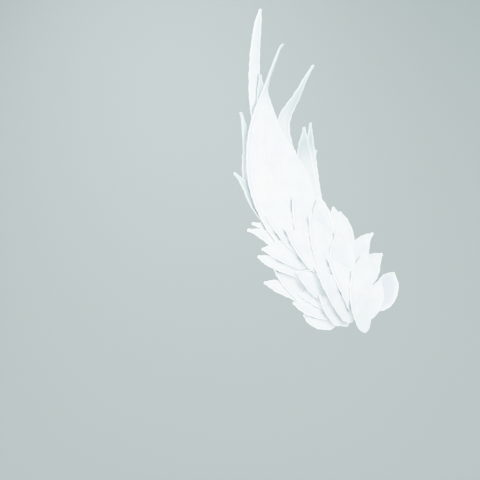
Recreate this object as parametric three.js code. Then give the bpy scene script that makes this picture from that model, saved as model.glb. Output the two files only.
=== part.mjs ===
// One angel wing hair clip, in millimetres, +Z up as it is worn.
// The feathers face -Y. The clip behind them opens towards -X, and the middle of its grip is the origin.
import * as THREE from "three";

const CLIP = { length: 58, height: 10, plate: 1.2, grip: 5, bendSteps: 8 };
const SHEET = { primary: 2, covert: 1.5, rootShare: 0.6, rootReach: 0.33, edgeShare: 0.7 };
const PIECE_GAP = 0.4;

// The foot of the wing is flat where the clip is glued, its sides fall back round the head,
// and the upper part bends forward.
const WRAP = { flatHalf: 30, radius: 330 };
const BEND = { startZ: 67, rise: 50, topZ: 220 };

// A primary's root is this share of its blade's width. STEEPEST_BED is in mm per mm.
const PRIMARY_ROOT = 0.3;
const STEEPEST_BED = 0.3;
const STATION_PITCH = 7.5;
const FEWEST_STATIONS = 6;
const CELL = 0.5;
const WORK_AREA = { left: -130, right: 110, bottom: -80, top: 260 };
const ACROSS = [-1, -0.5, 0, 0.5, 1];

// Feathers in the order they are laid, from the back of the wing to the front, seen square to the wing.
// width is of the blade's body, widest at the share belly of its length.
// point shapes the end: 0.5 is blunt and over 1 is sharp.
// lift raises the tip, cup raises both edges, and roll raises the left edge and lowers the right one.
// right is the share of the body to the right of the rib, and root the width of its foot as a share of width.
// A primary's rib runs through four places. Its body ends at the share bodyEnd of its length, and a needle
// of the given width runs on.
const PRIMARY_COLUMNS = [
  "name", "rootX", "rootZ", "lowX", "lowZ", "highX", "highZ", "tipX", "tipZ",
  "width", "belly", "point", "lift", "cup", "roll", "bodyEnd", "needle", "right",
];
const PRIMARIES = [
  ["primary_1", -34, 60, -61, 128, -71, 169, -77, 210, 9, 0.4, 0.4, 1, -1, 0, 1, 0, 0.5],
  ["primary_2", -52, 100, -57, 121, -62, 142, -66.5, 162, 9, 0.4, 0.8, 1, 0.5, 0, 1, 0, 0.5],
  ["primary_3", -42, 40, -63.5, 80, -68, 108, -76, 134, 10, 0.4, 1, 1, -0.8, 0, 1, 0, 0.5],
  ["primary_4", -36, 36, -60, 63, -70, 77.5, -78.5, 87, 11, 0.4, 1.1, 2, 0.3, 0, 1, 0, 0.5],
  ["primary_10", -28, 29, -44, 39, -53, 44, -64, 47.5, 9, 0.4, 1, 1, 0.3, 0, 1, 0, 0.5],
  ["primary_11", -26, 21, -44, 32, -56, 38.5, -68.5, 42.5, 10, 0.4, 0.8, 1, 0.3, 0, 1, 0, 0.5],
  ["primary_9", 1, 48, -7, 68, -10.5, 88, -8, 106.5, 11, 0.4, 1.2, 1, 0.5, 0, 1, 0, 0.5],
  ["primary_8", 0, 44, -9, 72, -14, 103, -16, 127.5, 11, 0.35, 0.8, 2, 0.5, 0, 1, 0, 0.5],
  ["primary_7", -5, 44, -15, 72, -21, 106, -22, 124, 17, 0.45, 0.9, 1, 0.5, 0, 1, 0, 0.45],
  ["primary_6", -22, 55, -42, 118, -31.5, 149, -22, 171.5, 13, 0.2, 1.5, 2, -0.8, 0, 1, 5, 0.5],
  ["primary_5", 2, -6, -52, 50, -68, 112, -53, 186, 46, 0.5, 1, 2, 0.8, -1.5, 0.84, 6, 0.93],
];
const COVERT_COLUMNS = [
  "name", "rootX", "rootZ", "tipX", "tipZ", "bow",
  "width", "right", "root", "belly", "point", "lift", "cup", "roll",
];
const COVERTS = [
  ["covert_base_2", 13, -32, -17.5, -24.5, 3, 11, 0.6, 0.8, 0.5, 0.8, 1, 0.3, 0],
  ["covert_base_3", 8, -12, 23, -34, 0, 17, 0.5, 0.6, 0.55, 0.7, 0, 0.3, 0],
  ["covert_right_10", 18, -14, 27, 28, 0, 18, 0.5, 0.6, 0.5, 0.9, 1, 0.3, 0],
  ["covert_left_4", -18, -12.5, -52.5, 1, -2, 10, 0.5, 0.8, 0.5, 0.8, 1, 0.3, 0.6],
  ["covert_left_3", -11, -19, -48.5, 17.5, 1, 17, 0.75, 0.8, 0.5, 0.8, 5, 0.3, 0.8],
  ["covert_base_1", 9, -27, -29, -15, 2, 12, 0.75, 0.8, 0.5, 0.8, 1, 0.3, 0.5],
  ["covert_left_2", -22.5, 7, -60, 21.5, 0, 9, 0.5, 0.8, 0.5, 0.4, 1, 0.3, 0.5],
  ["covert_left_1", -19.5, 10.5, -59, 27, 0, 18, 0.85, 0.8, 0.5, 0.9, 1, 0.3, 0.8],
  ["covert_mid_2", -27, 21, -56.5, 53, 0, 20, 0.85, 0.8, 0.5, 1, 1, 0.3, 0.8],
  ["covert_mid_1", -26.5, 25, -34, 69.5, 0, 20, 0.85, 0.8, 0.5, 1, 1, 0.3, 0.8],
  ["covert_right_6", 33, -6, 55, 24.5, 4, 18, 0.5, 0.8, 0.5, 1, 2, 0.4, -0.9],
  ["covert_right_7", 42, -19, 66.5, 9.5, -2, 22, 0.5, 0.7, 0.5, 0.6, 2, 2, 0],
  ["covert_right_5", 27, 5, 46, 41, 6, 17, 0.5, 0.8, 0.45, 1.2, 2, 0.4, -1.2],
  ["covert_right_3", 18, 20, 15, 58, 0, 17, 0.5, 0.8, 0.5, 0.8, 2, 0.3, -1.2],
  ["covert_right_2", 8, 18, 6.5, 61.5, -1, 15, 0.5, 0.8, 0.5, 0.7, 2, 0.3, -1.2],
  ["covert_right_1", 0, 20, -10.5, 69, 2, 17, 0.5, 0.8, 0.55, 0.8, 2, 1, 0],
  ["covert_mid_7", 11.5, -22.5, -24, -8, 1, 14, 0.85, 0.8, 0.5, 0.9, 1, 0.3, 0.8],
  ["covert_mid_10", 3, -16, -31, 9.5, 1, 19, 0.8, 0.8, 0.5, 0.9, 0.5, 0.3, 0.5],
  ["covert_mid_3", -12, 6, -42.5, 43, 1, 21, 0.85, 0.8, 0.5, 1, 1, 0.3, 0.8],
  ["covert_mid_4", -10.5, 10, -21, 52.5, 1, 21, 0.85, 0.8, 0.5, 1, 1, 0.3, 0.8],
  ["covert_right_9", 33.5, -29, 48.5, 3.5, -1, 17, 0.5, 0.8, 0.5, 1, 2, 0.3, -1],
  ["covert_right_8", 29, -12, 31.5, 23, -1, 19, 0.5, 0.8, 0.5, 1, 2, 0.3, -1],
  ["covert_right_4", 11, 0, 3.5, 43, 0, 22, 0.5, 0.8, 0.5, 1, 2, 1, 0.4],
  ["covert_mid_8", 12, -34.5, -9.5, -9.5, 1, 13, 0.8, 0.7, 0.5, 0.9, 1, 0.3, 0.6],
  ["covert_mid_5", 20.5, -33, -17, 12, 3, 19, 0.85, 0.8, 0.5, 1, 1, 0.3, 0.8],
  ["covert_mid_6", 22, -27, -6.5, 19.5, 1, 19, 0.85, 0.8, 0.5, 1, 1, 0.3, 0.8],
  ["covert_mid_9", 33, -38.5, 14.5, 9.5, 1, 18, 0.5, 0.5, 0.5, 1, 2, 0.5, 0.4],
];

const foam = new THREE.MeshStandardMaterial({ color: 0xf3f6f5, roughness: 0.8, metalness: 0 });
const steel = new THREE.MeshStandardMaterial({ color: 0xb9bdc1, roughness: 0.35, metalness: 1 });

function named(row, columns) {
  return Object.fromEntries(columns.map((column, i) => [column, row[i]]));
}

// How far in front of the origin the back of the wing lies.
function wingFront(x, z) {
  const bent = Math.max(0, z - BEND.startZ) / (BEND.topZ - BEND.startZ);
  const past = Math.max(0, Math.abs(x) - WRAP.flatHalf);
  return CLIP.grip / 2 + CLIP.plate + BEND.rise * bent ** 2 - past ** 2 / (2 * WRAP.radius);
}

// The height of what has been laid so far, on a grid of cells seen square to the wing.
class Pile {
  constructor(area) {
    this.area = area;
    this.columns = (area.right - area.left) / CELL + 1;
    this.heights = new Float64Array(this.columns * ((area.top - area.bottom) / CELL + 1));
  }

  corners(point) {
    const column = Math.floor((point.x - this.area.left) / CELL);
    const here = Math.floor((point.y - this.area.bottom) / CELL) * this.columns + column;
    return [here, here + 1, here + this.columns, here + this.columns + 1];
  }

  at(point) {
    return Math.max(...this.corners(point).map((i) => this.heights[i]));
  }

  raise(point, height) {
    for (const i of this.corners(point)) {
      this.heights[i] = Math.max(this.heights[i], height);
    }
  }
}

function splinedRib(primary) {
  const { rootX, rootZ, lowX, lowZ, highX, highZ, tipX, tipZ } = primary;
  const places = [[rootX, rootZ], [lowX, lowZ], [highX, highZ], [tipX, tipZ]];
  return new THREE.SplineCurve(places.map(([x, z]) => new THREE.Vector2(x, z)));
}

// A covert's rib bulges by bow to the left of its way up.
function bowedRib(covert) {
  const root = new THREE.Vector2(covert.rootX, covert.rootZ);
  const tip = new THREE.Vector2(covert.tipX, covert.tipZ);
  const chord = tip.clone().sub(root);
  const left = new THREE.Vector2(-chord.y, chord.x).normalize();
  const bend = root.clone().add(tip).multiplyScalar(0.5).addScaledVector(left, 2 * covert.bow);
  return new THREE.QuadraticBezierCurve(root, bend, tip);
}

// The body's width at a share of the blade's length, as a share of its full width.
function swell(feather, along) {
  const share = Math.min(along / feather.bodyEnd, 1);
  if (share < feather.belly) {
    return THREE.MathUtils.lerp(feather.root, 1, Math.sin(((share / feather.belly) * Math.PI) / 2));
  }
  const past = (share - feather.belly) / (1 - feather.belly);
  return Math.max(0, Math.cos((past * Math.PI) / 2)) ** feather.point;
}

// The blade as a net of places: x and z seen square to the wing, rise above its bed, and thickness.
function bladeNet(feather, rib, thickness) {
  const stations = Math.max(FEWEST_STATIONS, Math.round(rib.getLength() / STATION_PITCH));
  const net = [];
  for (let k = 0; k <= stations; k++) {
    const along = k / stations;
    const middle = rib.getPointAt(along);
    const way = rib.getTangentAt(along);
    const fullness = swell(feather, along);
    const needle = (feather.needle * Math.sqrt(1 - along)) / 2;
    const left = feather.width * fullness * (1 - feather.right) + needle;
    const right = feather.width * fullness * feather.right + needle;
    const fromRoot = Math.min(1, along / SHEET.rootReach);
    const thick = thickness * THREE.MathUtils.lerp(SHEET.rootShare, 1, fromRoot);
    net.push(
      ACROSS.map((v) => {
        const aside = THREE.MathUtils.mapLinear(v, -1, 1, -left, right);
        return {
          place: new THREE.Vector2(middle.x + way.y * aside, middle.y - way.x * aside),
          rise: feather.lift * along ** 2 + fullness * (feather.cup * v * v - feather.roll * v),
          thick: thick * THREE.MathUtils.lerp(1, SHEET.edgeShare, v * v),
        };
      }),
    );
  }
  return net;
}

function mix(a, b, share) {
  return {
    place: a.place.clone().lerp(b.place, share),
    rise: THREE.MathUtils.lerp(a.rise, b.rise, share),
    thick: THREE.MathUtils.lerp(a.thick, b.thick, share),
  };
}

// Visits spots all over the blade, with the station before each and the share of the way to the next.
function eachSpot(net, visit) {
  const lengthSteps = Math.ceil(STATION_PITCH / CELL);
  for (let k = 0; k + 1 < net.length; k++) {
    for (let a = 0; a <= lengthSteps; a++) {
      const line = net[k].map((spot, j) => mix(spot, net[k + 1][j], a / lengthSteps));
      for (let j = 0; j + 1 < line.length; j++) {
        const crossSteps = Math.max(1, Math.ceil(line[j].place.distanceTo(line[j + 1].place) / CELL));
        for (let b = 0; b <= crossSteps; b++) {
          visit(k, a / lengthSteps, mix(line[j], line[j + 1], b / crossSteps));
        }
      }
    }
  }
}

// Lays the blade on the pile. A stiff blade spans the hollows, so its bed runs straight from one high spot
// to the next, and it sinks until one of its spots rests.
function layOn(pile, net, length) {
  const needs = net.map(() => 0);
  eachSpot(net, (k, share, spot) => {
    const need = pile.at(spot.place) + PIECE_GAP - spot.rise;
    needs[k] = Math.max(needs[k], need);
    needs[k + 1] = Math.max(needs[k + 1], need);
  });
  const span = spanned(eased(needs, length / (net.length - 1)));
  let slack = Infinity;
  eachSpot(net, (k, share, spot) => {
    const under = THREE.MathUtils.lerp(span[k], span[k + 1], share) + spot.rise;
    slack = Math.min(slack, under - pile.at(spot.place) - PIECE_GAP);
  });
  const bed = span.map((height) => height - slack);
  eachSpot(net, (k, share, spot) => {
    pile.raise(spot.place, THREE.MathUtils.lerp(bed[k], bed[k + 1], share) + spot.rise + spot.thick);
  });
  return bed;
}

// Past a high spot the bed falls no faster than the steepest slope.
function eased(needs, pitch) {
  const fall = STEEPEST_BED * pitch;
  return needs.map((_, k) => Math.max(...needs.map((need, j) => need - fall * Math.abs(k - j))));
}

function spanned(needs) {
  const high = [];
  needs.forEach((need, k) => {
    const below = (a, b) => (b.need - a.need) * (k - a.k) <= (need - a.need) * (b.k - a.k);
    while (high.length > 1 && below(high.at(-2), high.at(-1))) {
      high.pop();
    }
    high.push({ k, need });
  });
  return needs.map((_, k) => {
    const next = Math.max(1, high.findIndex((spot) => spot.k >= k));
    const from = high[next - 1];
    const to = high[next];
    return THREE.MathUtils.mapLinear(k, from.k, to.k, from.need, to.need);
  });
}

// A closed blade: rings of front points from left to right and back points from right to left,
// and one point at the tip.
function bladeGeometry(net, bed) {
  const positions = [];
  const put = (spot, height) => {
    positions.push(spot.place.x, -wingFront(spot.place.x, spot.place.y) - height, spot.place.y);
  };
  const last = net.length - 1;
  for (let k = 0; k < last; k++) {
    net[k].forEach((spot) => put(spot, bed[k] + spot.rise + spot.thick));
    net[k].toReversed().forEach((spot) => put(spot, bed[k] + spot.rise));
  }
  const tip = net[last][(ACROSS.length - 1) / 2];
  put(tip, bed[last] + tip.rise + tip.thick / 2);

  const ring = 2 * ACROSS.length;
  const triangles = [];
  for (let k = 0; k < last; k++) {
    for (let i = 0; i < ring; i++) {
      const a = k * ring + i;
      const b = k * ring + ((i + 1) % ring);
      if (k + 1 < last) {
        triangles.push(a, b, b + ring, a, b + ring, a + ring);
      } else {
        triangles.push(a, b, last * ring);
      }
    }
  }
  for (let j = 0; j + 1 < ACROSS.length; j++) {
    triangles.push(j + 1, j, ring - 1 - j, j + 1, ring - 1 - j, ring - 2 - j);
  }
  const geometry = new THREE.BufferGeometry();
  geometry.setAttribute("position", new THREE.Float32BufferAttribute(positions, 3));
  geometry.setIndex(triangles);
  geometry.computeVertexNormals();
  return geometry;
}

function feathers() {
  const primaries = PRIMARIES.map((row) => ({ ...named(row, PRIMARY_COLUMNS), root: PRIMARY_ROOT }));
  const coverts = COVERTS.map((row) => ({ ...named(row, COVERT_COLUMNS), bodyEnd: 1, needle: 0 }));
  const pile = new Pile(WORK_AREA);
  const group = new THREE.Group();
  const lay = (feather, rib, thickness) => {
    const net = bladeNet(feather, rib, thickness);
    const mesh = new THREE.Mesh(bladeGeometry(net, layOn(pile, net, rib.getLength())), foam);
    mesh.name = feather.name;
    group.add(mesh);
  };
  primaries.forEach((primary) => lay(primary, splinedRib(primary), SHEET.primary));
  coverts.forEach((covert) => lay(covert, bowedRib(covert), SHEET.covert));
  return group;
}

// A strip bent double, drawn from above and as tall as the clip.
function hairClip() {
  const outer = CLIP.grip / 2 + CLIP.plate;
  const inner = CLIP.grip / 2;
  const mouth = -CLIP.length / 2;
  const turn = CLIP.length / 2 - outer;
  const strip = new THREE.Shape();
  strip.moveTo(mouth, -outer);
  strip.lineTo(turn, -outer);
  strip.absarc(turn, 0, outer, -Math.PI / 2, Math.PI / 2, false);
  strip.lineTo(mouth, outer);
  strip.lineTo(mouth, inner);
  strip.lineTo(turn, inner);
  strip.absarc(turn, 0, inner, Math.PI / 2, -Math.PI / 2, true);
  strip.lineTo(mouth, -inner);
  strip.closePath();
  const form = { depth: CLIP.height, bevelEnabled: false, curveSegments: CLIP.bendSteps };
  const mesh = new THREE.Mesh(new THREE.ExtrudeGeometry(strip, form), steel);
  mesh.position.z = -CLIP.height / 2;
  mesh.name = "hair_clip";
  return mesh;
}

const part = new THREE.Group();
part.add(feathers(), hairClip());

export default part;
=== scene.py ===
"""Looks of the angel wing hair clip: hand-cut foam feathers on a steel clip, in metres."""
import math

import bpy
import numpy as np
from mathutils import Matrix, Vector


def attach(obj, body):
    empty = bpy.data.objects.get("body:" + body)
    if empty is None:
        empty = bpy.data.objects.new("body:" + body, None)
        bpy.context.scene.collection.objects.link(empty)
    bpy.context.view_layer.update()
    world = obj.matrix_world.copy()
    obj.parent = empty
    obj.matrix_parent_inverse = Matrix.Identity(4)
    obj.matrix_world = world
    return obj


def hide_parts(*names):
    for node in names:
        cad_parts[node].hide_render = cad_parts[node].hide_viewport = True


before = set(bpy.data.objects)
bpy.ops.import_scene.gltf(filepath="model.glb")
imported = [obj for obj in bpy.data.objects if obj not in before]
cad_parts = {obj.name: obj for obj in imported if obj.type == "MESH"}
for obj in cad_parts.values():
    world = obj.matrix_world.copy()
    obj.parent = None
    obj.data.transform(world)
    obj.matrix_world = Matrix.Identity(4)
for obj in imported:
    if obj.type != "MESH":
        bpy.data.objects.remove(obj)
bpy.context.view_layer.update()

# Lengths are in metres. The small one is too short to see.
MM = 0.001
SMALL = 0.01 * MM

# The clip's node, and what the names of the long feathers' nodes start with.
CLIP_NODE = "hair_clip"
PRIMARY = "primary"

# The feather solids come apart into rings of front and back places, so many across. Corners that are
# nearer than the weld are one place.
WELD = 0.001 * MM
ACROSS = 5

# How finely a feather is modelled.
GRID_PITCH = 0.55 * MM
FEWEST_STEPS = 16
CROWDING = 0.7
RIM_STEPS = 5

# Random lines are sums of waves that get finer and lower, each with a random weight, brought to about
# unit height by the last number.
WAVES = {"finer": (1.0, 1.7, 2.9), "weights": (0.5, 1.0), "height": 1.4}

# Cut edges stray in slow waves with a few snags, and less where half the feather is under full_from.
EDGE = {
    "stray": 0.25 * MM,
    "wave": 9 * MM,
    "snag": 0.55 * MM,
    "snag_length": 0.8 * MM,
    "snag_pitch": 20 * MM,
    "snag_spots": (0.15, 1.0),
    "snag_heights": (0.3, 1.0),
    "full_from": 3 * MM,
    "least_share": 0.4,
}

# Tips are blunt and keep some thickness. Roots are round and thinner, and have little relief.
ENDS = {
    "blunt": 0.9 * MM,
    "blunt_power": 4,
    "tip_thick": 1.1 * MM,
    "tip_reach": 5 * MM,
    "root_taper": 1.6,
    "root_thin": 0.45,
    "root_fade": 0.5,
}

# A raised bead lies inside the cut edges, coloured lighter as a painted highlight, with a darker line of
# painted shade at its foot, and the rims are round. On some feathers the bead fades to a share of itself
# towards the right, where paint fills it.
BEAD = {
    "height": 0.5 * MM,
    "width": 0.9 * MM,
    "crest": 0.5,
    "tip_reach": 2 * MM,
    "back_height": 0.12 * MM,
    "foot": 1.6 * MM,
    "foot_width": 0.65 * MM,
    "rim_bulge": 0.45,
    "fade": (-0.5, 0.5),
    "filled_share": 0.25,
}

# The sheet waves slightly and has faint lengthwise grooves. What is pressed into its front leaves at
# least this share of its thickness.
SHEET = {
    "wave_height": 0.3 * MM,
    "wave": 16 * MM,
    "groove": 0.2 * MM,
    "groove_width": 0.5 * MM,
    "groove_pitch": 2.6 * MM,
    "groove_sides": (-0.9, 0.9),
    "groove_depths": (0.3, 1.0),
    "groove_middles": (0.2, 0.9),
    "groove_halves": (0.1, 0.35),
    "least_share": 0.55,
}

# Painted shade lies in creases under the left edge of a covering feather and just beside it, in broken
# strokes. It is narrow under a narrow feather, and fades under one that stands far off.
CREASE = {
    "beside": 1.0 * MM,
    "under": 4 * MM,
    "under_share": 0.6,
    "off": 11.5 * MM,
    "stroke_wave": 24 * MM,
    "stroke_level": 0.5,
}

# How far the ends of some feathers are bent to their right, or to their left where it is below 0.
HOOKS = {"primary_3": -1.0 * MM, "primary_5": 1.2 * MM, "primary_11": -0.4 * MM}

# How much further some roots reach under the feathers that cover them.
LONGER_ROOTS = {"covert_mid_4": 5 * MM}

# Feathers whose right edges are filled with paint.
FILLED = ["primary_5"]
FILLED += ["covert_mid_%d" % number for number in range(1, 10)]
FILLED += ["covert_right_%d" % number for number in (2, 4, 5, 6, 8, 9)]

# How far from their tips some primaries get painted shade, which makes them cool and darker.
SHADED_ENDS = {
    "primary_2": 60 * MM,
    "primary_3": 60 * MM,
    "primary_4": 50 * MM,
    "primary_5": 55 * MM,
    "primary_6": 75 * MM,
    "primary_7": 38 * MM,
    "primary_8": 38 * MM,
    "primary_9": 38 * MM,
}

# Marks that colour a feather, and those of them that its back has too. They are painted light: painted
# shade in cupped hollows, at the foot of the bead, at narrow ends and in creases, and a painted highlight
# on the bead.
# Where it is cupped by this depth or more, its painted hollow shade is full.
MARKS = ("hollow_shade", "bead_and_highlight", "foot", "cool_shade", "crease_shade")
BOTH_SIDES = ("bead_and_highlight", "foot", "cool_shade")
HOLLOW = 1.5 * MM

# The photograph's camera: its frame, where the origin falls in it, and its scale there.
FRAME_PX = 480
ORIGIN_PX = (319.6, 284.0)
SCALE = 0.8 * MM
CAMERA = {"azimuth": -29.0, "distance": 1.6, "sensor": 36.0}


def welded(mesh):
    """The mesh's separate places, and its faces between them."""
    corners = np.array([corner.co for corner in mesh.vertices])
    keys = np.round(corners / WELD).astype(int)
    _, first, index = np.unique(keys, axis=0, return_index=True, return_inverse=True)
    index = index.ravel()
    faces = [[int(index[corner]) for corner in face.vertices] for face in mesh.polygons]
    return corners[first], faces


def rings_of(mesh):
    """A feather's rings of places from its tip to its root. The tip is where the most faces meet."""
    places, faces = welded(mesh)
    near = [set() for _ in places]
    for face in faces:
        for corner in face:
            near[corner].update(face)
    tip = max(range(len(places)), key=lambda spot: len(near[spot]))
    seen = {tip}
    rings = [[tip]]
    while True:
        ring = set().union(*(near[spot] for spot in rings[-1])) - seen
        if not ring:
            return [places[sorted(ring)] for ring in rings]
        rings.append(ring)
        seen |= ring


def sheets_of(mesh):
    """A feather's front and back places from root to tip and from left to right."""
    rings = rings_of(mesh)[::-1]
    middles = np.array([ring.mean(axis=0) for ring in rings])
    ways = np.gradient(middles, axis=0)
    fronts, backs = [], []
    for ring, way in zip(rings[:-1], ways):
        order = np.argsort(ring[:, 0] * way[2] - ring[:, 2] * way[0])
        pairs = ring[order].reshape(ACROSS, 2, 3)
        nearer = np.argsort(pairs[:, :, 1], axis=1)
        fronts.append(pairs[range(ACROSS), nearer[:, 0]])
        backs.append(pairs[range(ACROSS), nearer[:, 1]])
    tip = np.repeat(rings[-1], ACROSS, axis=0)
    return np.array(fronts + [tip]), np.array(backs + [tip])


def rib_of(front, back):
    """The line along the middle of a feather, from root to tip."""
    return (front + back)[:, front.shape[1] // 2] / 2


def lengthened(front, back, longer):
    """The sheets with a further row of places past the root."""
    start = rib_of(front, back)[:2]
    step = (start[0] - start[1]) / np.linalg.norm(start[0] - start[1]) * longer
    return (np.concatenate([sheet[:1] + step, sheet]) for sheet in (front, back))


def curve_through(points, shares):
    """A smooth curve through the points along the first axis, at these shares of its way."""
    spots = np.asarray(shares) * (len(points) - 1)
    cell = np.minimum(spots.astype(int), len(points) - 2)
    part = (spots - cell).reshape(-1, *[1] * (points.ndim - 1))
    first, last = 2 * points[:1] - points[1:2], 2 * points[-1:] - points[-2:-1]
    run = np.concatenate([first, points, last])
    before, start, stop, after = (run[cell + step] for step in range(4))
    bend = (2 * before - 5 * start + 4 * stop - after) * part**2
    twist = (3 * start - before - 3 * stop + after) * part**3
    return start + ((stop - before) * part + (bend + twist)) / 2


def crowded(span):
    """Shares from 0 to 1 for the steps over a span, closer together at both ends."""
    even = np.linspace(0, 1, max(FEWEST_STEPS, round(span / GRID_PITCH)) + 1)
    return even - CROWDING / (2 * math.pi) * np.sin(2 * math.pi * even)


def wavy(length, pitch, rng):
    """A smooth random line of about unit height along the lengths."""
    total = np.zeros_like(length)
    for finer in WAVES["finer"]:
        phase, weight = rng.uniform(0, 2 * math.pi), rng.uniform(*WAVES["weights"])
        total += weight * np.sin(2 * math.pi * length * finer / pitch + phase) / finer
    return total / WAVES["height"]


def cut_line(along, rng):
    """How far a hand-cut edge strays outwards: slow waves and a few small snags."""
    stray = EDGE["stray"] * wavy(along, EDGE["wave"], rng)
    for _ in range(round(along.max() / EDGE["snag_pitch"])):
        spot = rng.uniform(*EDGE["snag_spots"]) * along.max()
        height = rng.uniform(*EDGE["snag_heights"]) * EDGE["snag"]
        stray += height * np.exp(-(((along - spot) / EDGE["snag_length"]) ** 2))
    return stray


def grooves(along, side, reach, rng):
    """Faint lengthwise grooves at random places, each fading out at both of its ends."""
    length, field = along.max(), np.zeros(reach.shape)
    for _ in range(round(2 * reach.max() / SHEET["groove_pitch"])):
        share, depth = rng.uniform(*SHEET["groove_sides"]), rng.uniform(*SHEET["groove_depths"])
        middle = rng.uniform(*SHEET["groove_middles"]) * length
        half = rng.uniform(*SHEET["groove_halves"]) * length
        trough = np.exp(-(((side - share) * reach / SHEET["groove_width"]) ** 2))
        field += depth * trough * np.exp(-(((along - middle) / half) ** 2))
    return np.minimum(field, 1)


def rounded(way, radius):
    """The share of its full width that a round end has this far from its end."""
    return np.sqrt(1 - (1 - np.minimum(way / radius, 1)) ** 2)


def eased(share):
    """A share from 0 to 1 that starts and ends gently."""
    share = np.clip(share, 0, 1)
    return share**2 * (3 - 2 * share)


def fine(sheet, shares, across):
    """A sheet's places on a finer grid, at these shares of its length and of its width."""
    lengthwise = curve_through(sheet, shares)
    return curve_through(lengthwise.swapaxes(0, 1), across).swapaxes(0, 1)


class Feather:
    """A feather as fine grids of front and back places, from root to tip and from left to right."""

    def __init__(self, mesh, longer):
        front, back = sheets_of(mesh)
        if longer:
            front, back = lengthened(front, back, longer)
        length = np.linalg.norm(np.diff(rib_of(front, back), axis=0), axis=1).sum()
        width = np.linalg.norm(front[:, 0] - front[:, -1], axis=1).max()
        shares, across = crowded(length), crowded(width)
        self.front, self.back = fine(front, shares, across), fine(back, shares, across)
        self.length = length
        self.along = shares[:, None] * length
        self.to_tip = length - self.along
        self.across = across[None, :]
        self.side = self.across * 2 - 1
        self.marks = {}

    def cut_out(self, hook, rng):
        """Gives it a hand-cut outline, a blunt tip whose end may be bent sideways, and a round root."""
        rib = rib_of(self.front, self.back)
        way = np.gradient(rib, axis=0)
        outward = np.stack([way[:, 2], np.zeros(len(way)), -way[:, 0]], axis=1)[:, None]
        outward /= np.linalg.norm(outward, axis=2, keepdims=True)
        middle = rib[:, None]
        half = np.linalg.norm(self.front[:, [0, -1]] - middle, axis=2)
        self.reach = np.where(self.side < 0, half[:, :1], half[:, 1:])
        power = ENDS["blunt_power"]
        self.full = (self.reach**power + ENDS["blunt"] ** power) ** (1 / power)

        root = rounded(self.along, ENDS["root_taper"] * half[0].mean())
        tip = rounded(self.to_tip, ENDS["blunt"])
        left, right = cut_line(self.along, rng), cut_line(self.along, rng)
        share = np.clip(self.full / EDGE["full_from"], EDGE["least_share"], 1)
        cut = self.full + np.where(self.side < 0, left, right) * share
        bend = hook * np.maximum(0, 1 - self.to_tip / ENDS["tip_reach"]) ** 2
        shift = outward * (self.side * root * (cut * tip - self.reach) + bend)[:, :, None]
        for sheet in (self.front, self.back):
            moved = middle + (sheet - middle) * root[:, :, None] + shift
            sheet[:, :, ::2] = moved[:, :, ::2]

    def thicken_tip(self):
        """Keeps its front and back apart near the tip, and joins them at its very end."""
        level = (self.front + self.back)[:, :, 1] / 2
        least = ENDS["tip_thick"] * np.exp(-((self.to_tip / ENDS["tip_reach"]) ** 2))
        thick = np.maximum((self.back - self.front)[:, :, 1], least)
        self.thick = thick * rounded(self.to_tip, ENDS["blunt"])
        self.front[:, :, 1] = level - self.thick / 2
        self.back[:, :, 1] = level + self.thick / 2

    def emboss(self, right_share, rng):
        """Waves the sheet, presses it in between its beads and along its grooves, and marks the painted
        shade of its hollow and of its beads' feet and the painted highlight of its beads.
        """
        rise = np.minimum(1, self.along / (ENDS["root_fade"] * self.length))
        ends = np.minimum(rise, np.minimum(1, self.to_tip / BEAD["tip_reach"]))
        depth = self.front[:, :, 1]
        hollow_shade = depth - depth[:, :1] * (1 - self.across) - depth[:, -1:] * self.across
        inset = self.full * (1 - abs(self.side))
        bead_share = np.interp(self.side, BEAD["fade"], (1, right_share))
        bead_and_highlight = (1 - eased(inset / BEAD["width"] - BEAD["crest"])) * bead_share * rise
        slant = rng.uniform(-1, 1)
        waves = wavy(self.along + self.side * self.reach * slant, SHEET["wave"], rng) + 1
        wave = ends * SHEET["wave_height"] * waves / 2
        scored = SHEET["groove"] * grooves(self.along, self.side, self.reach, rng)
        relief = ends * (BEAD["height"] * (1 - bead_and_highlight) + scored)
        relief += ENDS["root_thin"] * (1 - rise) * self.thick
        foot = np.exp(-(((inset - BEAD["foot"]) / BEAD["foot_width"]) ** 2))
        # Painted shade in a cupped hollow, deeper where it is cupped more.
        self.marks["hollow_shade"] = np.clip(hollow_shade / HOLLOW, 0, 1)
        # A painted highlight on the raised bead.
        self.marks["bead_and_highlight"] = bead_and_highlight
        # Painted shade in a line at the foot of the bead.
        self.marks["foot"] = foot * ends * bead_share
        self.front[:, :, 1] += wave + np.minimum(relief, (1 - SHEET["least_share"]) * self.thick)
        self.back[:, :, 1] += wave - ends * BEAD["back_height"] * (1 - bead_and_highlight)
        strokes = CREASE["stroke_level"] + wavy(self.along[:, 0], CREASE["stroke_wave"], rng)
        self.strokes = np.clip(strokes, 0, 1) * rise[:, 0]

    def shade_end(self, cool_shade):
        """Marks painted shade by how near the tip each place is, from 0 at this length from it to 1 at
        its end.
        """
        share = np.clip(1 - self.to_tip / cool_shade, 0, 1) if cool_shade else 0.0
        self.marks["cool_shade"] = np.zeros(self.reach.shape) + share


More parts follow.
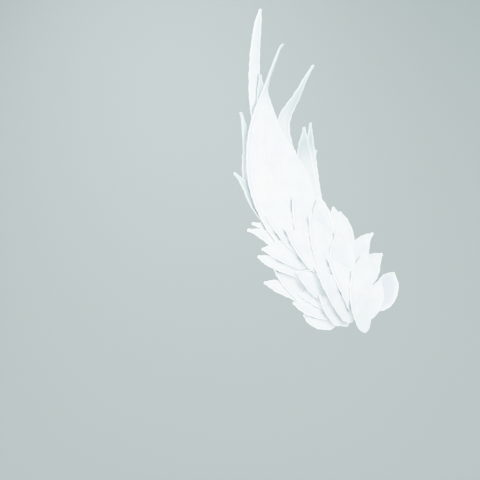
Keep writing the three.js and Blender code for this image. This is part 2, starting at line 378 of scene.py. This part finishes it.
def crease_under(upper, front):
    """How deep in the painted shade of the crease at the upper feather's left edge each place of a front
    lies.
    """
    edge = upper.front[::2, 0]
    inward = (upper.front[::2, -1] - edge)[:, ::2]
    low, high = edge.min(axis=0) - CREASE["under"], edge.max(axis=0) + CREASE["under"]
    near = ((front > low) & (front < high))[:, :, ::2].all(axis=2)
    crease_shade = np.zeros(near.shape)
    if not near.any():
        return crease_shade
    places = front[near]
    apart = np.linalg.norm(places[:, None, ::2] - edge[None, :, ::2], axis=2)
    nearest = apart.argmin(axis=1)
    away = places - edge[nearest]
    under = (away[:, ::2] * inward[nearest]).sum(axis=1) > 0
    span = CREASE["under_share"] * np.linalg.norm(inward[nearest], axis=1)
    width = np.where(under, np.minimum(span, CREASE["under"]), CREASE["beside"])
    depth = np.exp(-((apart.min(axis=1) / np.maximum(width, SMALL)) ** 2))
    behind = np.exp(-((away[:, 1] / CREASE["off"]) ** 2)) * (away[:, 1] > 0)
    crease_shade[near] = depth * behind * upper.strokes[::2][nearest]
    return crease_shade


def add_creases(feathers):
    """Marks painted shade where a feather's front lies under and just beside the left edges of those that
    cover it.
    """
    for name, feather in feathers.items():
        crease_shade = np.zeros(feather.front.shape[:2])
        for other, upper in feathers.items():
            if other != name:
                crease_shade = np.maximum(crease_shade, crease_under(upper, feather.front))
        feather.marks["crease_shade"] = crease_shade


def rim(front_edge, back_edge, middle):
    """Rows of places that round a feather's cut edge from its front to its back."""
    centre, half = (front_edge + back_edge) / 2, (back_edge - front_edge)[:, 1:2] / 2
    out = (centre - middle) * (1, 0, 1)
    out /= np.maximum(np.linalg.norm(out, axis=1, keepdims=True), SMALL)
    rows = []
    for step in range(1, RIM_STEPS):
        turn = math.pi * step / RIM_STEPS
        depth = np.array((0, 1, 0)) * -math.cos(turn) * half
        rows.append(centre + depth + out * BEAD["rim_bulge"] * half * math.sin(turn))
    return np.stack(rows, axis=1)


def ring_values(mark, on_back, around):
    """A mark's values on the places of a feather's mesh: its rings, then its root and its tip."""
    across = mark.shape[1]
    values = np.repeat(mark[1:-1, :1] * on_back, around, axis=1)
    values[:, :across] = mark[1:-1]
    if on_back:
        back = across + RIM_STEPS - 1
        values[:, back : back + across] = mark[1:-1, ::-1]
    return np.append(values, mark[[0, -1], 0]).astype(np.float32)


def feather_mesh(name, feather):
    """A closed feather: rings along its length, closed by a point at the root and one at the tip."""
    front, back = feather.front, feather.back
    middle = rib_of(front, back)
    right, left = (rim(front[:, edge], back[:, edge], middle) for edge in (-1, 0))
    rings = np.concatenate([front, right, back[:, ::-1], left[:, ::-1]], axis=1)[1:-1]
    count, around = rings.shape[:2]
    places = np.concatenate([rings.reshape(-1, 3), middle[:1], middle[-1:]])
    root, tip = count * around, count * around + 1

    closed = np.concatenate([rings, rings[:, :1]], axis=1)
    girth = np.linalg.norm(np.diff(closed, axis=1), axis=2).cumsum(axis=1)
    girth = np.concatenate([np.zeros((count, 1)), girth], axis=1)
    chart = np.stack([girth, np.broadcast_to(feather.along[1:-1], girth.shape)], axis=2)

    faces, corners = [], []
    last = count - 1
    end = last * around
    for spot in range(around):
        beside = (spot + 1) % around
        for row in range(last):
            here, above = row * around, (row + 1) * around
            faces.append((here + spot, here + beside, above + beside, above + spot))
            corners += [chart[row, spot], chart[row, spot + 1]]
            corners += [chart[row + 1, spot + 1], chart[row + 1, spot]]
        faces += [(beside, spot, root), (end + spot, end + beside, tip)]
        corners += [chart[0, spot + 1], chart[0, spot], (chart[0, spot, 0], 0.0)]
        corners += [chart[last, spot], chart[last, spot + 1], (chart[last, spot, 0], feather.length)]

    mesh = bpy.data.meshes.new(name)
    mesh.from_pydata(places.tolist(), [], faces)
    mesh.uv_layers.new(name="chart").data.foreach_set("uv", np.array(corners, np.float32).ravel())
    for key in MARKS:
        values = ring_values(feather.marks[key], key in BOTH_SIDES, around)
        mesh.attributes.new(key, "FLOAT", "POINT").data.foreach_set("value", values)
    mesh.polygons.foreach_set("use_smooth", [True] * len(faces))
    mesh.validate()
    mesh.update()
    return mesh


# Where a mix node has its share, its two colours and their mix.
MIX_SHARE, MIX_UNDER, MIX_OVER, MIX_RESULT = 0, 6, 7, 2


def new_material(name):
    """A new material, its shader, a maker of further nodes and a linker to the shader."""
    material = bpy.data.materials.new(name)
    material.use_nodes = True
    tree = material.node_tree
    shader = tree.nodes["Principled BSDF"]

    def add(kind, inputs=(), **settings):
        node = tree.nodes.new(kind)
        for key, value in settings.items():
            setattr(node, key, value)
        for key, value in dict(inputs).items():
            if isinstance(value, bpy.types.NodeSocket):
                tree.links.new(value, node.inputs[key])
            else:
                node.inputs[key].default_value = value
        return node

    def link(output, socket):
        tree.links.new(output, shader.inputs[socket])

    return material, shader, add, link


def ramp(add, value, limits):
    """Maps a value between two limits to 0 and 1, smoothly."""
    inputs = {"Value": value, "From Min": limits[0], "From Max": limits[1]}
    return add("ShaderNodeMapRange", inputs, interpolation_type="SMOOTHSTEP").outputs["Result"]


def blend(add, share, under, over):
    """A mix of two colours, either of them a colour or a socket."""
    inputs = {MIX_SHARE: share, MIX_UNDER: under, MIX_OVER: over}
    return add("ShaderNodeMix", inputs, data_type="RGBA").outputs[MIX_RESULT]


def noise(add, place, scale, detail):
    """Soft noise between 0 and 1."""
    return add("ShaderNodeTexNoise", {"Vector": place, "Scale": scale, "Detail": detail}).outputs["Fac"]


def stretched(add, place, scale):
    """A place scaled along its axes."""
    return add("ShaderNodeMapping", {"Vector": place, "Scale": scale}).outputs["Vector"]


def finish_surface(add, link, finish, colour, dullness, relief):
    """Gives a shader its colour, and a roughness and a bump that follow two values."""
    link(colour, "Base Color")
    low, high = finish["roughness"]
    rough = add("ShaderNodeMapRange", {"Value": dullness, "To Min": low, "To Max": high})
    link(rough.outputs["Result"], "Roughness")
    strength, distance = finish["bump"]
    bump = add("ShaderNodeBump", {"Height": relief, "Strength": strength, "Distance": distance})
    link(bump.outputs["Normal"], "Normal")


# The foam's finish. A bump has a strength and a height, a noise a scale and a detail, and the strokes are
# scaled around and along the feather.
FOAM = {
    "gloss": 0.3,
    "roughness": (0.55, 0.8),
    "bump": (0.25, 0.12 * MM),
    "clouds": (90.0, 4.0),
    "drift": (45.0, 1.0),
    "grain": (1500.0, 2.0),
    "stroke_scale": (700, 40, 1),
    "stroke_noise": (1.0, 3.0),
}

# The values between which each layer of colour comes on, painted shade and highlight among them. Heights
# are in metres.
PAINT_LIMITS = {
    "drift": (0.42, 0.58),
    "clouds": (0.35, 0.65),
    "strokes": (0.5, 0.7),
    # painted shade towards the top, by height in metres
    "height": (0.1, 0.22),
    "hollow_shade": (0.05, 0.6),
    "foot": (0.0, 1.6),
    "cool_shade": (0.0, 0.65),
    # painted shade in creases
    "crease_shade": (0.0, 0.8),
}

# Two tints that drift into each other, the layers over them in their order, and the painted highlight of
# rims and the painted shade of creases, which comes last. Of the layers, the one by height is painted
# shade, darker and cooler towards the top, and those of hollows, bead feet and narrow ends are painted
# shade too.
LAVENDER = (0.64, 0.64, 0.76, 1)
MINT = (0.62, 0.75, 0.74, 1)
LAYERS = {
    "clouds": (0.87, 0.875, 0.87, 1),
    "strokes": (0.58, 0.63, 0.64, 1),
    # painted shade, darker and cooler towards the top
    "height": (0.55, 0.63, 0.64, 1),
    # painted shade in cupped hollows
    "hollow_shade": (0.45, 0.48, 0.66, 1),
    # painted shade at the foot of the bead
    "foot": (0.4, 0.45, 0.47, 1),
    # painted shade at narrow ends
    "cool_shade": (0.24, 0.315, 0.32, 1),
}
# The painted highlight of rims, the painted shade of rims at narrow ends, and the painted shade of
# creases.
RIM_HIGHLIGHT_COLOUR = (0.92, 0.93, 0.93, 1)
SHADED_RIM_COLOUR = (0.46, 0.58, 0.58, 1)
CREASE_SHADE_COLOUR = (0.2, 0.225, 0.25, 1)


def foam_material():
    """White foam brushed with matte paint, with a painted highlight that whitens the rims and painted
    shade that makes hollows and narrow ends cool and creases grey.
    """
    material, shader, add, link = new_material("painted_foam")
    shader.inputs["Specular IOR Level"].default_value = FOAM["gloss"]
    place = add("ShaderNodeTexCoord").outputs["Object"]
    chart = add("ShaderNodeUVMap", uv_map="chart").outputs["UV"]
    values = {key: add("ShaderNodeAttribute", attribute_name=key).outputs["Fac"] for key in MARKS}
    values |= {key: noise(add, place, *FOAM[key]) for key in ("clouds", "drift", "grain")}
    values["strokes"] = noise(add, stretched(add, chart, FOAM["stroke_scale"]), *FOAM["stroke_noise"])
    values["height"] = add("ShaderNodeSeparateXYZ", {"Vector": place}).outputs["Z"]
    shares = {key: ramp(add, values[key], limits) for key, limits in PAINT_LIMITS.items()}

    colour = blend(add, shares["drift"], LAVENDER, MINT)
    for key, paint in LAYERS.items():
        colour = blend(add, shares[key], colour, paint)
    # Rims get a painted highlight, toned down by painted shade at narrow ends; creases get painted shade.
    rim_highlights = blend(add, shares["cool_shade"], RIM_HIGHLIGHT_COLOUR, SHADED_RIM_COLOUR)
    colour = blend(add, values["bead_and_highlight"], colour, rim_highlights)
    colour = blend(add, shares["crease_shade"], colour, CREASE_SHADE_COLOUR)
    relief = add("ShaderNodeMath", {0: values["strokes"], 1: values["grain"]}, operation="ADD")
    finish_surface(add, link, FOAM, colour, values["clouds"], relief.outputs["Value"])
    return material


# The steel's finish, with its plain, dull and bright colours and where the last two come on.
STEEL = {
    "roughness": (0.25, 0.5),
    "bump": (0.15, 0.05 * MM),
    "streak_scale": (60, 900, 1800),
    "streak_noise": (1.0, 4.0),
    "patch_noise": (140.0, 3.0),
    "plain": (0.56, 0.58, 0.6, 1),
    "dull": (0.44, 0.45, 0.46, 1),
    "bright": (0.66, 0.67, 0.68, 1),
    "dull_limits": (0.4, 0.7),
    "bright_limits": (0.55, 0.75),
}


def steel_material():
    """Spring steel, rolled along the strip, with fine streaks and a few dull patches."""
    material, shader, add, link = new_material("spring_steel")
    shader.inputs["Metallic"].default_value = 1.0
    place = add("ShaderNodeTexCoord").outputs["Object"]
    streaks = noise(add, stretched(add, place, STEEL["streak_scale"]), *STEEL["streak_noise"])
    patches = noise(add, place, *STEEL["patch_noise"])
    colour = blend(add, ramp(add, patches, STEEL["dull_limits"]), STEEL["plain"], STEEL["dull"])
    colour = blend(add, ramp(add, streaks, STEEL["bright_limits"]), colour, STEEL["bright"])
    finish_surface(add, link, STEEL, colour, streaks, streaks)
    return material


# The backdrop's paper: its roughness, its noise, and the two colours that this mixes.
PAPER = {
    "roughness": 0.9,
    "noise": (3.0, 2.0),
    "shade": (0.43, 0.46, 0.452, 1),
    "light": (0.445, 0.475, 0.467, 1),
}


def backdrop_material():
    """Plain pale paper with barely seen fibre."""
    material, shader, add, link = new_material("pale_paper")
    shader.inputs["Roughness"].default_value = PAPER["roughness"]
    place = add("ShaderNodeTexCoord").outputs["Object"]
    fibre = noise(add, place, *PAPER["noise"])
    link(blend(add, fibre, PAPER["shade"], PAPER["light"]), "Base Color")
    return material


def make_feather(name, rng):
    """A node's feather with its own hand work. The painted shade in the creases at the edges of primaries
    is unbroken.
    """
    feather = Feather(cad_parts[name].data, LONGER_ROOTS.get(name, 0.0))
    feather.cut_out(HOOKS.get(name, 0.0), rng)
    feather.thicken_tip()
    feather.emboss(BEAD["filled_share"] if name in FILLED else 1.0, rng)
    feather.shade_end(SHADED_ENDS.get(name, 0.0))
    if name.startswith(PRIMARY):
        feather.strokes[:] = 1
    return feather


def make_feathers():
    """Each feather solid is dressed by a fine feather of the same form."""
    material = foam_material()
    names = sorted(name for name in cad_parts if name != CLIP_NODE)
    feathers = {name: make_feather(name, np.random.default_rng(seed)) for seed, name in enumerate(names)}
    add_creases(feathers)
    for name, feather in feathers.items():
        mesh = feather_mesh(name + "_feather", feather)
        mesh.materials.append(material)
        piece = bpy.data.objects.new(name + "_feather", mesh)
        bpy.context.scene.collection.objects.link(piece)
        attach(piece, "root")
        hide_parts(name)


# The clip's edges are eased this much, in so many steps.
CLIP_EASE = 0.25 * MM
CLIP_EASE_STEPS = 2


def finish_clip():
    """The clip's solid keeps its form, with eased edges and a steel finish."""
    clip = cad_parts[CLIP_NODE]
    clip.modifiers.new("joined_faces", "WELD").merge_threshold = SMALL
    bevel = clip.modifiers.new("eased_edges", "BEVEL")
    bevel.width = CLIP_EASE
    bevel.segments = CLIP_EASE_STEPS
    bevel.limit_method = "ANGLE"
    clip.data.materials.clear()
    clip.data.materials.append(steel_material())


def camera_axes():
    """The camera's level directions: towards it from the origin, and to its right."""
    turn = math.radians(CAMERA["azimuth"])
    return Vector((math.sin(turn), -math.cos(turn), 0)), Vector((math.cos(turn), math.sin(turn), 0))


def make_camera():
    """The photograph's camera, aimed so that the origin falls on its pixel."""
    toward, right = camera_axes()
    camera = bpy.data.objects.new("photo_camera", bpy.data.cameras.new("photo_camera"))
    bpy.context.scene.collection.objects.link(camera)
    camera.data.sensor_width = CAMERA["sensor"]
    camera.data.lens = CAMERA["sensor"] * CAMERA["distance"] / (FRAME_PX * SCALE)
    camera.location = toward * CAMERA["distance"]
    aim = right * (FRAME_PX / 2 - ORIGIN_PX[0]) * SCALE
    aim += Vector((0, 0, 1)) * (ORIGIN_PX[1] - FRAME_PX / 2) * SCALE
    camera.rotation_mode = "QUATERNION"
    camera.rotation_quaternion = (aim - camera.location).to_track_quat("-Z", "Y")
    bpy.context.scene.camera = camera


# A round room of paper: its floor's height, the small ring that the floor starts from, how far out it is
# flat, the bend up to the wall, the wall's top, and the steps of the bend and of the way around.
STUDIO = {
    "floor": -0.6,
    "start": 0.01,
    "flat": 1.4,
    "bend": 1.3,
    "top": 2.2,
    "bend_steps": 24,
    "turn_steps": 96,
}


def make_backdrop():
    """A pale floor that sweeps up all around the object."""
    profile = [(STUDIO["start"], STUDIO["floor"])]
    for step in range(STUDIO["bend_steps"] + 1):
        turn = math.pi / 2 * step / STUDIO["bend_steps"]
        out = STUDIO["flat"] + STUDIO["bend"] * math.sin(turn)
        profile.append((out, STUDIO["floor"] + STUDIO["bend"] * (1 - math.cos(turn))))
    profile.append((profile[-1][0], STUDIO["top"]))
    count = STUDIO["turn_steps"]
    places, faces = [], []
    for row, (out, height) in enumerate(profile):
        for step in range(count):
            turn = 2 * math.pi * step / count
            places.append((out * math.cos(turn), out * math.sin(turn), height))
            if row:
                here, beside = row * count + step, row * count + (step + 1) % count
                faces.append((here - count, beside - count, beside, here))
    mesh = bpy.data.meshes.new("backdrop")
    mesh.from_pydata(places, [], faces)
    mesh.polygons.foreach_set("use_smooth", [True] * len(faces))
    mesh.materials.append(backdrop_material())
    backdrop = bpy.data.objects.new("backdrop", mesh)
    bpy.context.scene.collection.objects.link(backdrop)


# Soft lights: where each stands and aims, in metres to the camera's right, up and towards it from the
# origin, its size in metres, the spread of its beam in degrees, and watts.
LIGHT_COLUMNS = ("name", "at", "aim", "size", "spread", "watts")
LIGHTS = [
    ("key", (0.4, 0.38, 1.18), (0.0, 0.03, 0.0), 0.9, 70, 27.0),
    ("fill", (-0.95, 0.0, 0.95), (0.0, 0.03, 0.0), 1.1, 80, 28.0),
    ("behind", (-0.4, 0.6, -1.2), (0.0, 0.03, 0.0), 1.1, 80, 13.0),
    ("wall", (-0.35, 0.85, -2.1), (-0.2, 0.15, -2.7), 0.3, 110, 2.6),
]
COOL_LIGHT = (0.82, 1.0, 1.0)
ROOM_LIGHT = (0.72, 0.83, 0.84, 1)
ROOM_STRENGTH = 0.66


def make_lights():
    """A soft key from the right, a fill from the left, and lights for the wing's back and the wall."""
    toward, right = camera_axes()

    def place_of(steps):
        return right * steps[0] + Vector((0, 0, steps[1])) + toward * steps[2]

    for row in LIGHTS:
        light = dict(zip(LIGHT_COLUMNS, row))
        lamp = bpy.data.lights.new(light["name"], "AREA")
        lamp.size = light["size"]
        lamp.spread = math.radians(light["spread"])
        lamp.energy = light["watts"]
        lamp.color = COOL_LIGHT
        stand = bpy.data.objects.new(light["name"], lamp)
        bpy.context.scene.collection.objects.link(stand)
        stand.visible_camera = False
        stand.location = place_of(light["at"])
        stand.rotation_mode = "QUATERNION"
        stand.rotation_quaternion = (place_of(light["aim"]) - stand.location).to_track_quat("-Z", "Y")
    world = bpy.data.worlds.new("studio")
    bpy.context.scene.world = world
    world.use_nodes = True
    background = world.node_tree.nodes["Background"]
    background.inputs["Color"].default_value = ROOM_LIGHT
    background.inputs["Strength"].default_value = ROOM_STRENGTH
    bpy.context.scene.view_settings.view_transform = "Filmic"


make_camera()
make_feathers()
finish_clip()
make_backdrop()
make_lights()
